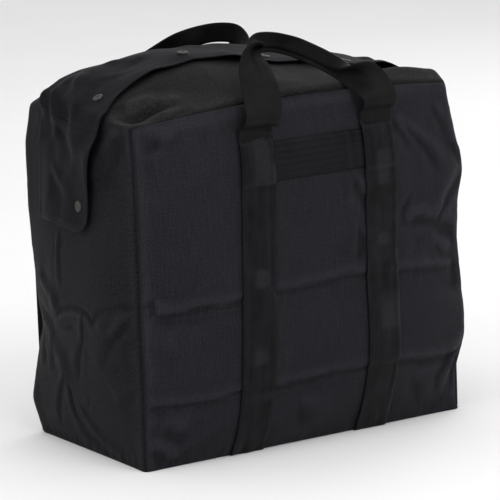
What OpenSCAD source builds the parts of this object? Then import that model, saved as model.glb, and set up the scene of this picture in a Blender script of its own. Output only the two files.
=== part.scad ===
// Soft flyer's kit bag: a stuffed cloth box with a zipped mouth, a storm flap that snaps down
// over the zip, and two handles on webbing that runs round under the bag.
// Origin at the middle of the base. X runs along the bag, -Y is its front, +Z is up.

/* [Bag] */
// Length between the corner seams of the front panel
bag_l = 510; // [490:1:530]
// Depth between the front and back corner seams
bag_d = 280; // [276:1:300]
// Height of the four upper corners
bag_h = 460; // [450:1:470]
// Rise of the middle of the top above its corners
crown = 58; // [50:1:64]
// Rise of the long top seams at their middle
seam_rise = 16; // [12:1:20]
// How far the full front and back stand out
front_bulge = 42; // [36:1:46]
// How far the full side panels stand out
side_bulge = 18; // [12:1:20]
// Thickness of a cloth panel with its coating and lining
cloth = 2; // [1.6:0.1:2.2]

/* [Webbing] */
// Width of the webbing
web_w = 50.8; // [48:0.1:52]
// Thickness of the webbing
web_t = 2.4; // [2:0.1:2.6]
// Distance from the bag's middle to the middle of each web
web_x = 100; // [96:1:104]
// Height of the middle of the cross band
band_z = 396; // [390:1:400]
// Height at which the handles leave the bag
anchor_z = 436; // [434:1:438]
// Width of the handle's folded grip
grip_w = 25; // [22:1:26]
// Thickness of the handle's folded grip
grip_t = 8; // [6:0.5:9]

/* [Storm flap] */
// Distance of the free front edge in front of the bag's middle
flap_front = 50; // [46:1:54]
// Distance of the sewn rear edge behind the bag's middle
flap_rear = 60; // [58:1:64]
// Height of the lower edge of the flap's two ends
flap_low = 310; // [305:1:315]
// Thickness of the doubled flap cloth
flap_t = 1.6; // [1.2:0.1:2]
// Height of the flap above the top panels
flap_lift = 4.6; // [4.4:0.1:5]
// Height of the end flap above the zip that runs under it
tunnel = 8; // [7.5:0.1:9]
// Radius of the lower front corner of each end
flap_corner_r = 18; // [10:1:24]

/* [Zip] */
// Distance of the zip behind the bag's middle
zip_y = 18; // [16:1:20]
// Height at which the zip ends on each side panel
zip_low = 285; // [282:1:288]
// Width of the slit that the zip closes
slit_w = 14; // [13.5:0.1:15]
// Width of each tape
tape_w = 12; // [8:1:13]
// Thickness of the tape
tape_t = 0.8; // [0.6:0.1:0.9]
// Width of one row of teeth
row_w = 2.9; // [2.5:0.1:3]
// Thickness of the rows of teeth
row_t = 2.4; // [2:0.1:2.6]
// Length of the slider
slider_l = 22; // [20:1:23]
// Width of the slider
slider_w = 11; // [10.5:0.1:11.5]
// Length of the pull tab
pull_l = 28; // [20:1:30]

/* [Snaps] */
// Spacing of the snaps along the top
snap_pitch = 131; // [120:1:135]
// Distance of the leftmost snap from the bag's middle
snap_corner = 231; // [225:1:240]
// Distance of the snaps in front of the bag's middle
snap_front = 20; // [18:1:24]
// Height of the snap on each end of the flap
snap_end_z = 340; // [335:1:350]
// Radius of a snap cap
cap_r = 7.5; // [6:0.1:8]
// Radius of the post of a stud
post_r = 2.4; // [2:0.1:2.6]
// Radius of the bore in a socket
socket_bore_r = 4; // [3.8:0.1:4.2]

/* [Hidden] */

half_l = bag_l / 2;
half_d = bag_d / 2;
eps = 0.01;
seam_gap = 0.2;       // between panels that are sewn together
lay_gap = 0.3;        // between pieces that lie on each other
ground_gap = 0.2;     // the panels' lower rims stand this far above the base
hinge_gap = 3;        // round the panel that folds into the mouth
root_gap = 2.2;       // from a handle's hinge to its leg and to the web below
top_bow = 0.28;       // share of the front bulge that is left at the top seam
knee = 0.6;           // share of the height where a side panel turns straight
flat_b = 0.25;        // half width of the flat stretch of a side, as a share of the half depth
side_k = 4 / pow(2 - knee, 2);
cell = 42;            // largest cell of a panel's net
web_edges = [web_x - web_w / 2 - 1, web_x + web_w / 2 + 1];
notch_z = web_t + 0.3;  // the front and back panels are cut out this high over the webs
band_low = band_z - web_w / 2;
band_high = band_z + web_w / 2;
snap_xs = [for (i = [0:3]) i * snap_pitch - snap_corner];
snap_cell = 9;        // half size of the flat cell under each snap
cap_h = 1.6;
cap_dimple_r = 2.2;
cap_dimple_depth = 0.7;
socket_r = 6.2;
socket_h = 2.4;
stud_foot_r = 6;
stud_foot_h = 0.8;
stud_h = 2.9;
end_snap_lift = 4.4;  // height of the end flap at its snap
end_rear_lift = 1;    // height of the end flap where it is sewn
door_slack = 3;       // between the upper edge of a flap end and the corner of the bag
tape_depth = cloth + 0.6;
top_tape_depth = tape_depth + 0.8;  // clear of the chords of the top panels
row_depth = cloth - 0.3;
row_gap = 1.2;        // between the two rows, where the slider's post runs
pin_r = 1;
pin_lift = 3.4;
pin_up = 10;          // distance of the pull's pin above the lower end of the slider
park_up = 2;          // distance of the parked slider above the end of the zip
binding_t = 1.5;
binding_w = 9;
binding_top = 425;

duck = [0.15, 0.15, 0.17];
duck_side = [0.14, 0.14, 0.15];
webbing = [0.13, 0.13, 0.14];
gunmetal = [0.3, 0.28, 0.27];
zip_black = [0.1, 0.1, 0.1];

// Shape of the stuffed bag: a, b run from -1 to 1 along X and Y, c from 0 to 1 upwards.
function front_profile(c) =
    c < 0.5 ? 1 - pow(1 - 2 * c, 4) : 1 - (1 - top_bow) * pow(2 * c - 1, 6);
function side_profile(c) =
    c < knee ? c * ((2 / knee - 1) * side_k - side_k / pow(knee, 2) * c) : side_k * (1 - c);
function side_width(b) = 1 - pow(max(0, abs(b) - flat_b) / (1 - flat_b), 2);
function top_rise(a, b) =
    seam_rise * (1 - a * a) + (crown - seam_rise) * (1 - pow(abs(a), 2.5)) * (1 - b * b);
function bag_point(a, b, c) = [
    a * (half_l + side_bulge * side_width(b) * side_profile(c)),
    b * (half_d + front_bulge * (1 - pow(a, 4)) * front_profile(c)),
    c * (bag_h + top_rise(a, b))
];
function top_normal(a, b) =
    let (h = 0.001)
    let (n = cross(bag_point(a + h, b, 1) - bag_point(a - h, b, 1),
                   bag_point(a, b + h, 1) - bag_point(a, b - h, 1)))
    n / norm(n);

// A share of a panel's height, moved in from its two rims by its mitre.
function rim_c(c, inset) =
    let (low = (ground_gap + inset) / bag_h)
    low + c * (1 - low - (seam_gap / 2 + inset) / bag_h);
function front_point(c, a, inset) =
    bag_point(a * (1 - (seam_gap / 2 + inset) / half_l), inset / half_d - 1, rim_c(c, inset));
function side_point(c, b, inset) =
    bag_point(1 - inset / half_l, b * (1 - (seam_gap / 2 + inset) / half_d), rim_c(c, inset));
function web_c(z) = z / (bag_h + seam_rise * (1 - pow(web_x / half_l, 2)));

// Even stations from each break to the next, no further apart than step.
function stations(breaks, step) = concat([breaks[0]], [
    for (i = [1:len(breaks) - 1])
        let (n = ceil((breaks[i] - breaks[i - 1]) / step - eps))
        for (k = [1:n]) breaks[i - 1] + (breaks[i] - breaks[i - 1]) * k / n
]);
function within(list, low, high) = [for (v = list) if (v > low - eps / 9 && v < high + eps / 9) v];

web_breaks = [for (z = [notch_z, 46, 92, band_low - 8, band_low - 1, band_high + 1,
    band_high + 8, anchor_z - root_gap]) web_c(z)];
long_c = stations(concat([0], web_breaks, [1]), cell / bag_h);
long_a = stations([-1, -web_edges[1] / half_l, -web_edges[0] / half_l,
    web_edges[0] / half_l, web_edges[1] / half_l, 1], 1.3 * cell / half_l);
top_a = stations(concat([-1],
    [for (x = snap_xs, s = [-1, 1]) (x + s * snap_cell) / half_l], [1]), cell / half_l);
snap_b = [-(snap_front + snap_cell) / half_d, -(snap_front - snap_cell) / half_d];
slit_b = [(zip_y - slit_w / 2) / half_d, (zip_y + slit_w / 2) / half_d];
top_front_b = stations(concat([-1], snap_b, [slit_b[0]]), cell / half_d);
top_back_b = stations([slit_b[1], 1], cell / half_d);
side_b = stations(concat([-1, -flat_b], slit_b, [flat_b, 1]), cell / half_d);
slit_c = (zip_low - 5) / bag_h;
side_c = stations([0, 0.1, 0.2, slit_c, 1], cell / bag_h);
flap_b = stations(concat([-flap_front / half_d], snap_b, [flap_rear / half_d]), cell / half_d);

// Solid between an outer net (k = 0) and an inner net (k = 1), where open() leaves cells out.
// Seen from outside, the columns run to the right and the rows upwards.
module shell(rows, cols, point, open = function (i, j) false) {
    n = len(rows);
    m = len(cols);
    count = n * m;
    solid = function (i, j) i >= 0 && j >= 0 && i < n - 1 && j < m - 1 && !open(i, j);
    quad = function (p, q, r, s) [[p, r, q], [p, s, r]];
    polyhedron(
        points = [for (k = [0, 1], row = rows, col = cols) point(row, col, k)],
        faces = [
            for (i = [0:n - 2], j = [0:m - 2]) if (solid(i, j))
                let (p = i * m + j, q = p + 1, r = p + m + 1, s = p + m)
                for (face = concat(
                    quad(p, q, r, s),
                    quad(count + p, count + s, count + r, count + q),
                    solid(i - 1, j) ? [] : quad(q, p, count + p, count + q),
                    solid(i + 1, j) ? [] : quad(s, r, count + r, count + s),
                    solid(i, j - 1) ? [] : quad(p, s, count + s, count + p),
                    solid(i, j + 1) ? [] : quad(r, q, count + q, count + r)
                )) face
        ]);
}

// Places its children on the top at x, y, with their Z along the cloth's outward normal.
module on_top(x, y) {
    n = top_normal(x / half_l, y / half_d);
    translate(bag_point(x / half_l, y / half_d, 1))
        rotate([0, acos(n[2]), atan2(n[1], n[0])]) children();
}

// Places its children on the straight upper part of the right side, level with the low end
// of its zip: X points out of the cloth and Z runs up along it.
lean = atan(side_bulge * side_k / bag_h);
module on_side() {
    translate([half_l + side_bulge * side_profile(zip_low / bag_h), 0, zip_low])
        rotate([0, -lean, 0]) children();
}
function up_side(z) = (z - zip_low) / cos(lean);
module on_left() {
    mirror([1, 0, 0]) on_side() children();
}

// ---- Cloth panels ----

module long_panel() {
    shell(long_c, long_a, function (c, a, k) front_point(c, a, k * cloth),
        function (i, j) i == 0 && abs(abs(long_a[j] + long_a[j + 1]) / 2 * half_l - web_x) < 2);
}
module side_panel() {
    shell(side_c, side_b, function (c, b, k) side_point(c, b, k * cloth),
        function (i, j) side_c[i] > slit_c - eps / 9
            && abs((side_b[j] + side_b[j + 1]) / 2 * half_d - zip_y) < 2);
}

// The base lies on the ground, with a shallow channel over each of the two webs.
module base_outline() {
    rim = half_l - cloth - seam_gap;
    roof = web_t + lay_gap;
    foot = [for (s = [-1, 1]) web_x + s * (web_w / 2 + lay_gap)];
    under = [[foot[0], 0], [foot[0], roof], [foot[1], roof], [foot[1], 0], [rim, 0]];
    over = [[rim, cloth], [foot[1] + cloth, cloth], [foot[1] + cloth, roof + cloth],
        [foot[0] - cloth, roof + cloth], [foot[0] - cloth, cloth]];
    right = concat(under, over);
    polygon(concat(right, [for (i = [len(right) - 1:-1:0]) [-right[i][0], right[i][1]]]));
}
module bottom_panel() {
    color(duck) rotate([90, 0, 0])
        linear_extrude(bag_d - 2 * (cloth + seam_gap), center = true) base_outline();
}
module front_panel() {
    color(duck) long_panel();
}
module back_panel() {
    color(duck) mirror([0, 1, 0]) long_panel();
}
module right_side_panel() {
    color(duck_side) side_panel();
}
module left_side_panel() {
    color(duck_side) mirror([1, 0, 0]) side_panel();
}
module top_back_panel() {
    color(duck_side) shell(top_back_b, top_a, function (b, a, k)
        let (inset = seam_gap / 2 + k * cloth)
        bag_point(a * (1 - inset / half_l), min(b, 1 - inset / half_d), 1 - k * cloth / bag_h));
}
module top_front_panel() {
    color(duck_side) shell(top_front_b, top_a, function (b, a, k)
        bag_point(a * (1 - 2 * hinge_gap / half_l), max(b, hinge_gap / half_d - 1),
            1 - k * cloth / bag_h));
}

// Tape over the raw edges inside the corner seams, at both ends and along the base.
module seam_binding(side) {
    outer = 2 * (half_l - cloth - lay_gap);
    base_z = web_t + lay_gap + cloth + lay_gap;
    color(zip_black) translate([0, side * (half_d - cloth - lay_gap - binding_t / 2), base_z])
        rotate([90, 0, 0]) linear_extrude(binding_t, center = true) difference() {
            translate([-outer / 2, 0]) square([outer, binding_top - base_z]);
            translate([binding_w - outer / 2, binding_w])
                square([outer - 2 * binding_w, binding_top]);
        }
}
module front_seam_binding() {
    seam_binding(-1);
}
module back_seam_binding() {
    seam_binding(1);
}

// ---- Webbing ----

// The front webs lie on the front panel, step over the cross band and end at the handle.
function band_step(c) =
    min(1, max(0, 1 - max(web_c(band_low - 1) - c, c - web_c(band_high + 1)) / web_c(7)));
function web_lift(c) = lay_gap + (web_t + lay_gap) * band_step(c);
web_base = -front_point(web_c(notch_z), web_x / half_l, 0)[1] + lay_gap + web_t;
anchor_y = -front_point(web_c(anchor_z), web_x / half_l, 0)[1]
    + web_lift(web_c(anchor_z)) + web_t / 2;
module long_web(x) {
    color(webbing) shell(
        within(long_c, web_c(notch_z), web_c(anchor_z - root_gap)), [x - web_w / 2, x + web_w / 2],
        function (c, at, k)
            front_point(c, at / half_l, 0) - [0, web_lift(c) + (1 - k) * web_t, 0]);
}
module cross_band() {
    end = web_edges[1] / half_l;
    color(webbing) shell(
        [web_c(band_low), (web_c(band_low) + web_c(band_high)) / 2, web_c(band_high)],
        within(long_a, -end, end),
        function (c, a, k) front_point(c, a, 0) - [0, lay_gap + (1 - k) * web_t, 0]);
}
module bottom_web(x) {
    color(webbing) translate([x - web_w / 2, -web_base, 0])
        cube([web_w, 2 * web_base, web_t]);
}
module front_left_web() {
    long_web(-web_x);
}
module front_right_web() {
    long_web(web_x);
}
module back_left_web() {
    mirror([0, 1, 0]) long_web(-web_x);
}
module back_right_web() {
    mirror([0, 1, 0]) long_web(web_x);
}
module bottom_left_web() {
    bottom_web(-web_x);
}
module bottom_right_web() {
    bottom_web(web_x);
}
module front_cross_band() {
    cross_band();
}
module back_cross_band() {
    mirror([0, 1, 0]) cross_band();
}

// Flat band through stations of [point, direction of its width, width].
module strap(path, thickness) {
    last = len(path) - 1;
    color(webbing) shell([for (i = [0:last]) i], [-1, 1],
        function (i, s, k)
            let (run = path[min(i + 1, last)][0] - path[max(i - 1, 0)][0])
            let (out = cross(path[i][1], run), across = cross(run, out))
            path[i][0] + s * path[i][2] / 2 * across / norm(across)
                + (0.5 - k) * thickness * out / norm(out));
}
// Each handle's stations, as [dx, dy, dz, width direction, width] from the left anchor:
// dy leads away from the bag and dz upwards.
front_left_leg = [[0, 0, root_gap, [1, 0, 0], web_w], [-2, -2, 20, [1, 0, 0], web_w],
    [4, 5, 48, [1, 0, -0.1], web_w], [18, 25, 73, [0.9, 0.1, -0.4], 44],
    [33, 46, 94, [0.7, 0.2, -0.6], 34]];
front_grip = [[36, 50, 98, [0.5, 0.2, -0.7], grip_w], [60, 66, 110, [0.2, 0.1, -1], grip_w],
    [90, 69, 110, [-0.1, 0, -1], grip_w], [118, 60, 98, [-0.3, 0, -1], grip_w],
    [145, 42, 80, [-0.4, 0, -1], grip_w], [168, 22, 62, [-0.5, 0, -0.8], grip_w],
    [182, 11, 51, [-0.6, 0, -0.7], grip_w]];
front_right_leg = [[200, 0, root_gap, [1, 0, 0], web_w], [201, -3, 16, [1, 0, 0], web_w],
    [196, -2, 30, [0.9, 0, 0.3], 46], [186, 8, 47, [0.7, 0, 0.6], 32]];
back_left_leg = [[0, 0, root_gap, [1, 0, 0], web_w], [-2, -2, 20, [1, 0, 0], web_w],
    [4, 9, 44, [1, 0, -0.1], web_w], [20, 32, 63, [0.9, 0, -0.4], 42],
    [36, 53, 75, [0.7, 0, -0.6], 32]];
back_grip = [[41, 57, 79, [0.4, 0, -0.9], grip_w], [66, 69, 87, [0.1, 0, -1], grip_w],
    [105, 72, 89, [0, 0, -1], grip_w], [148, 71, 87, [-0.1, 0, -1], grip_w],
    [168, 65, 81, [-0.4, 0, -0.9], grip_w]];
back_right_leg = [[200, 0, root_gap, [1, 0, 0], web_w], [202, -2, 20, [1, 0, 0], web_w],
    [197, 8, 44, [1, 0, 0.1], web_w], [185, 34, 63, [0.9, 0, 0.4], 42],
    [173, 61, 77, [0.7, 0, 0.6], 32]];
function handle_path(list) = [for (s = list)
    [[s[0] - web_x, s[1] - anchor_y, s[2] + anchor_z], s[3], s[4]]];

module front_handle_left_leg() {
    strap(handle_path(front_left_leg), web_t);
}
module front_handle_right_leg() {
    strap(handle_path(front_right_leg), web_t);
}
module front_handle_grip() {
    strap(handle_path(front_grip), grip_t);
}
module back_handle_left_leg() {
    mirror([0, 1, 0]) strap(handle_path(back_left_leg), web_t);
}
module back_handle_right_leg() {
    mirror([0, 1, 0]) strap(handle_path(back_right_leg), web_t);
}
module back_handle_grip() {
    mirror([0, 1, 0]) strap(handle_path(back_grip), grip_t);
}

// ---- Storm flap ----

module top_flap() {
    color(duck_side) shell(flap_b, top_a, function (b, a, k)
        bag_point(a, b, 1) + (flap_lift + (1 - k) * flap_t) * top_normal(a, b));
}

// One end of the flap in plan: it rises from its sewn edge to a tunnel over the zip, and
// comes down to the snap.
module end_outline() {
    inner = [[end_rear_lift, flap_rear], [tunnel, flap_rear - 22], [tunnel, zip_y - 14],
        [end_snap_lift, zip_y - 29], [end_snap_lift, -flap_front]];
    polygon(concat(inner, [for (i = [4:-1:0]) inner[i] + [flap_t, 0]]));
}
module flap_end() {
    low = up_side(flap_low);
    color(duck_side) difference() {
        translate([0, 0, low]) linear_extrude(up_side(bag_h - door_slack) - low) end_outline();
        translate([0, -flap_front, low]) difference() {
            translate([0, -1, -1]) cube([tunnel, flap_corner_r + 1, flap_corner_r + 1]);
            translate([-1, flap_corner_r, flap_corner_r]) rotate([0, 90, 0])
                cylinder(r = flap_corner_r, h = tunnel + 2, $fn = 64);
        }
    }
}
module left_flap_end() {
    mirror([1, 0, 0]) on_side() flap_end();
}
module right_flap_end() {
    on_side() flap_end();
}

// ---- Snaps ----

module snap_cap() {
    color(gunmetal) rotate_extrude($fn = 48) polygon([[0, 0], [cap_r, 0],
        [cap_r, cap_h * 0.4], [cap_r - 1, cap_h], [cap_dimple_r + 0.8, cap_h],
        [cap_dimple_r, cap_h - cap_dimple_depth], [0, cap_h - cap_dimple_depth]]);
}
module snap_socket() {
    color(gunmetal) difference() {
        cylinder(r = socket_r, h = socket_h, $fn = 48);
        translate([0, 0, -1]) cylinder(r = socket_bore_r, h = socket_h + 0.4, $fn = 48);
    }
}
module snap_stud() {
    color(gunmetal) {
        cylinder(r = stud_foot_r, h = stud_foot_h, $fn = 48);
        cylinder(r = post_r, h = stud_h - lay_gap, $fn = 48);
    }
}
module at_end_snap(lift) {
    translate([lift, -snap_front, up_side(snap_end_z)]) rotate([0, 90, 0]) children();
}
module top_snap_caps() {
    for (x = snap_xs)
        on_top(x, -snap_front) translate([0, 0, flap_lift + flap_t + 0.1]) snap_cap();
}
module top_snap_sockets() {
    for (x = snap_xs)
        on_top(x, -snap_front) translate([0, 0, flap_lift - lay_gap - socket_h]) snap_socket();
}
module top_snap_studs() {
    for (x = snap_xs)
        on_top(x, -snap_front) translate([0, 0, lay_gap]) snap_stud();
}
module end_cap() {
    on_side() at_end_snap(end_snap_lift + flap_t + 0.1) snap_cap();
}
module end_socket() {
    on_side() at_end_snap(end_snap_lift - lay_gap - socket_h) snap_socket();
}
module end_stud() {
    on_side() at_end_snap(lay_gap) snap_stud();
}
module left_snap_cap() {
    mirror([1, 0, 0]) end_cap();
}
module left_snap_socket() {
    mirror([1, 0, 0]) end_socket();
}
module left_snap_stud() {
    mirror([1, 0, 0]) end_stud();
}
module right_snap_cap() {
    end_cap();
}
module right_snap_socket() {
    end_socket();
}
module right_snap_stud() {
    end_stud();
}

// ---- Zip ----

// Strip of the zip under the top: y runs from low to high, depth from near to far.
module top_strip(ys, ends, depth, thickness) {
    color(zip_black) shell(ys / half_d, top_a, function (b, a, k)
        bag_point(a * (1 - ends / half_l), b, 1) - [0, 0, depth + k * thickness]);
}
row_ys = [row_gap / 2, row_gap / 2 + row_w];
tape_ys = [row_ys[1] + 0.2, row_ys[1] + 0.2 + tape_w];
zip_ends = 2 * hinge_gap;
module zip_front_tape() {
    top_strip([zip_y - tape_ys[1], zip_y - tape_ys[0]], zip_ends, top_tape_depth, tape_t);
}
module zip_rear_tape() {
    top_strip([zip_y + tape_ys[0], zip_y + tape_ys[1]], zip_ends, top_tape_depth, tape_t);
}
module zip_front_teeth() {
    top_strip([zip_y - row_ys[1], zip_y - row_ys[0]], zip_ends, row_depth, row_t);
}
module zip_rear_teeth() {
    top_strip([zip_y + row_ys[0], zip_y + row_ys[1]], zip_ends, row_depth, row_t);
}

// The two strips of one kind on a side panel, on both sides of the slit's middle.
module side_strips(ys, depth, thickness) {
    top = up_side(bag_h - hinge_gap - 2);
    color(zip_black) for (s = [0, 1]) translate([0, zip_y, 0]) mirror([0, s, 0])
        translate([-depth - thickness, ys[0], 0]) cube([thickness, ys[1] - ys[0], top]);
}
module zip_right_tape() {
    on_side() side_strips(tape_ys, tape_depth, tape_t);
}
module zip_left_tape() {
    mirror([1, 0, 0]) on_side() side_strips(tape_ys, tape_depth, tape_t);
}
module zip_right_teeth() {
    on_side() side_strips(row_ys, row_depth, row_t);
}
module zip_left_teeth() {
    mirror([1, 0, 0]) on_side() side_strips(row_ys, row_depth, row_t);
}
module zip_stop() {
    translate([-row_depth - row_t, zip_y - row_ys[1], -3.2])
        cube([row_t, 2 * row_ys[1], 3]);
}
module zip_stops() {
    color(gunmetal) {
        on_side() zip_stop();
        mirror([1, 0, 0]) on_side() zip_stop();
    }
}

wing_t = 2.2;
flange_h = 0.7;
wing_out = 0.3 - row_depth;               // inner face of the outer wing
wing_in = -row_depth - row_t - 0.3;       // outer face of the inner wing
flange_w = slider_w / 2 - row_ys[1] - 0.4;
module slider_half() {
    for (face = [wing_out, wing_in - wing_t])
        translate([face, 0, 0]) cube([wing_t, slider_w / 2, slider_l]);
    for (face = [wing_out - flange_h, wing_in - eps])
        translate([face, slider_w / 2 - flange_w, 0])
            cube([flange_h + eps, flange_w, slider_l]);
    translate([wing_in - eps, 0, 0]) cube([wing_out - wing_in + 2 * eps, 0.35, 6]);
    translate([wing_out + wing_t - eps, 2.6, pin_up - 3])
        cube([pin_lift + 1.6 - wing_out - wing_t, 1.5, 6]);
}
module zip_slider() {
    color(gunmetal) on_side() translate([0, zip_y, park_up]) {
        slider_half();
        mirror([0, 1, 0]) slider_half();
        translate([pin_lift, 0, pin_up]) rotate([90, 0, 0])
            cylinder(r = pin_r, h = 6, center = true, $fn = 32);
    }
}
module zip_pull() {
    eye_r = 2.2;
    color(gunmetal) on_side() translate([pin_lift, zip_y, park_up + pin_up])
        difference() {
            union() {
                rotate([90, 0, 0]) cylinder(r = eye_r, h = 4.4, center = true, $fn = 32);
                translate([-0.7, -2.2, -6]) cube([1.4, 4.4, 6]);
                translate([-0.7, -4, -pull_l]) cube([1.4, 8, pull_l - 5]);
            }
            rotate([90, 0, 0]) cylinder(r = pin_r + 0.1, h = 9, center = true, $fn = 32);
        }
}

bottom_panel();
front_panel();
back_panel();
left_side_panel();
right_side_panel();
top_back_panel();
top_front_panel();
front_left_web();
front_right_web();
back_left_web();
back_right_web();
bottom_left_web();
bottom_right_web();
front_cross_band();
back_cross_band();
front_handle_left_leg();
front_handle_right_leg();
front_handle_grip();
back_handle_left_leg();
back_handle_right_leg();
back_handle_grip();
top_flap();
left_flap_end();
right_flap_end();
top_snap_caps();
top_snap_sockets();
top_snap_studs();
left_snap_cap();
left_snap_socket();
left_snap_stud();
right_snap_cap();
right_snap_socket();
right_snap_stud();
zip_front_tape();
zip_rear_tape();
zip_front_teeth();
zip_rear_teeth();
zip_left_tape();
zip_left_teeth();
zip_right_tape();
zip_right_teeth();
zip_stops();
zip_slider();
zip_pull();
front_seam_binding();
back_seam_binding();
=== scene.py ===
"""Soft look of the flyer's kit bag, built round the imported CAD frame."""
import math

import bpy
import numpy as np
from mathutils import Matrix, Vector


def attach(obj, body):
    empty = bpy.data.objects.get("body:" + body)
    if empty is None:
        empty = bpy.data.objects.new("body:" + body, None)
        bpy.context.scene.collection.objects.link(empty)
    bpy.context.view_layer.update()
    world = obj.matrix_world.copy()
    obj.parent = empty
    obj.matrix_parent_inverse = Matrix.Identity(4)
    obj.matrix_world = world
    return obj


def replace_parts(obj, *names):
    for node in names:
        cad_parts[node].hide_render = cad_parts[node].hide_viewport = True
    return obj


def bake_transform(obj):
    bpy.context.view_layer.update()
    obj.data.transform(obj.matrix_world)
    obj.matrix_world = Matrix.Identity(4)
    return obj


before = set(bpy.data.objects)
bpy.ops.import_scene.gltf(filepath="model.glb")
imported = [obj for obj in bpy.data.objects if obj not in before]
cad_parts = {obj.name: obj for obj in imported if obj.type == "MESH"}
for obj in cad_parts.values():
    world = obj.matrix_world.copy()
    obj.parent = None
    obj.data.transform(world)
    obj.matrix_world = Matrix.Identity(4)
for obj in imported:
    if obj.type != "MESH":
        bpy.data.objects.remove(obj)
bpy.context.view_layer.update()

MM = 0.001

# ---- The stuffed shape, in millimetres, as in the CAD part ----
HALF_L, HALF_D, BAG_H = 255.0, 140.0, 460.0
CROWN, SEAM_RISE, FRONT_BULGE, SIDE_BULGE, TOP_BOW = 58.0, 16.0, 42.0, 18.0, 0.28
KNEE, FLAT_B = 0.6, 0.25
SIDE_K = 4 / (2 - KNEE) ** 2
WEB_W, WEB_T, WEB_X = 50.8, 2.4, 100.0
BAND_LOW, BAND_HIGH = 370.6, 421.4
CLOTH = 2.0
FLOOR_GAP = 0.2
ZIP_Y, ZIP_END_X = 18.0, 248
SNAP_XS = (-231, -100, 31, 162)
SNAP_Y, SNAP_END_Z = -20.0, 340.0


def smooth(t):
    t = np.clip(t, 0, 1)
    return t * t * (3 - 2 * t)


def unit(v):
    return v / np.maximum(1e-9, np.linalg.norm(v, axis=-1, keepdims=True))


def vec(x, y, z):
    return np.stack(np.broadcast_arrays(x, y, z), -1)


def lengths(points):
    """Length gone along a line at each of its points."""
    return np.concatenate([[0], np.cumsum(np.linalg.norm(np.diff(points, axis=0), axis=1))])


def point_at(q, s, points):
    """Point at length q along a line whose points lie at the lengths s."""
    return np.array([np.interp(q, s, points[:, i]) for i in range(3)])


def joined(pieces):
    """Points and faces of several pieces as one mesh."""
    verts, faces = [], []
    for v, f in pieces:
        faces += [[i + len(verts) for i in face] for face in f]
        verts += v
    return verts, faces


def front_profile(c):
    low = 1 - (1 - 2 * c) ** 4
    high = 1 - (1 - TOP_BOW) * (2 * c - 1) ** 6
    return np.where(c < 0.5, low, high)


def side_profile(c):
    low = c * ((2 / KNEE - 1) * SIDE_K - SIDE_K / KNEE ** 2 * c)
    return np.where(c < KNEE, low, SIDE_K * (1 - c))


def side_width(b):
    return 1 - (np.maximum(0, np.abs(b) - FLAT_B) / (1 - FLAT_B)) ** 2


def top_rise(a, b):
    return (SEAM_RISE * (1 - a * a)
            + (CROWN - SEAM_RISE) * (1 - np.minimum(1, np.abs(a)) ** 2.5) * (1 - b * b))


# How far each upright corner seam strays, as (height, outwards) pairs in millimetres.
EDGE_SWAY = {
    (1, -1): [(0, 0), (16, -3), (52, -4), (80, 4), (107, 12), (140, 12), (178, 8), (239, 4),
              (299, 7), (334, 15), (355, 14), (383, 7), (430, -2), (462, -7)],
    (-1, -1): [(0, 3), (60, 2), (98, 1), (192, 1), (259, 0), (365, 0), (462, 2)],
    (-1, 1): [(0, -1), (23, 5), (49, 12), (77, 7), (115, -1), (153, -10), (186, -5),
              (256, 0), (315, 4), (408, 4), (445, -3), (462, -6)],
    (1, 1): [(0, 0), (60, 8), (130, -5), (200, 3), (290, 6), (380, 2), (462, -5)],
}


def sway(a, b, z):
    """Shift of a point by the wandering of the four corner seams."""
    out = np.zeros(a.shape + (3,))
    for (sa, sb), pairs in EDGE_SWAY.items():
        zs, ds = zip(*pairs)
        fine = np.linspace(0, 470, 95)
        curve = np.interp(fine, zs, ds)
        for _ in range(2):
            curve[1:-1] = (curve[:-2] + 2 * curve[1:-1] + curve[2:]) / 4
        d = np.interp(z, fine, curve)
        w = (np.clip((1 + sa * a) / 2, 0, 1) ** 5) * (np.clip((1 + sb * b) / 2, 0, 1) ** 3)
        out[..., 0] += d * w * sa * 0.86
        out[..., 1] += d * w * sb * 0.5
    return out


# Height of the stuffing above or below an even crown, along two lines across the top.
STUFFED_NEAR = [(-255, 0), (-231, 4), (-165, 9), (-101, 9), (-30, -5), (32, -16), (100, -19),
                (163, -17), (255, -3)]
STUFFED_FAR = [(-255, 18), (-226, 22), (-194, 20), (-153, 14), (-115, 11), (-72, 8), (0, 3),
               (95, -4), (190, -2), (255, 2)]


def stuffing(a, b):
    x, y = a * HALF_L, b * HALF_D
    near = np.interp(x, *zip(*STUFFED_NEAR))
    far = np.interp(x, *zip(*STUFFED_FAR))
    t = smooth((y + 20) / 90)
    ridge = 14 * np.exp(-((y + 112) / 17) ** 2) - 7 * np.exp(-((y + 78) / 15) ** 2)
    return ((near * (1 - t) + far * t) * smooth((y + 140) / 80) * smooth((140 - y) / 55)
            + ridge * smooth((x - 70) / 120))


def bag(a, b, c):
    a, b, c = np.broadcast_arrays(np.asarray(a, float), b, c)
    p = np.stack([
        a * (HALF_L + SIDE_BULGE * side_width(b) * side_profile(c)),
        b * (HALF_D + FRONT_BULGE * (1 - a ** 4) * front_profile(c)),
        c * (BAG_H + top_rise(a, b)) + stuffing(a, b) * np.clip(c, 0, 1) ** 6,
    ], -1)
    return p + sway(a, b, p[..., 2])


# ---- Folds ----
def noise(u, v, seed):
    """Smooth value noise from -1 to 1."""
    table = np.random.RandomState(seed).rand(61, 67) * 2 - 1
    iu, iv = np.floor(u).astype(int), np.floor(v).astype(int)
    fu, fv = u - iu, v - iv
    fu, fv = fu * fu * fu * (fu * (6 * fu - 15) + 10), fv * fv * fv * (fv * (6 * fv - 15) + 10)

    def at(i, j):
        return table[i % 61, j % 67]
    return ((at(iu, iv) * (1 - fu) + at(iu + 1, iv) * fu) * (1 - fv)
            + (at(iu, iv + 1) * (1 - fu) + at(iu + 1, iv + 1) * fu) * fv)


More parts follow.
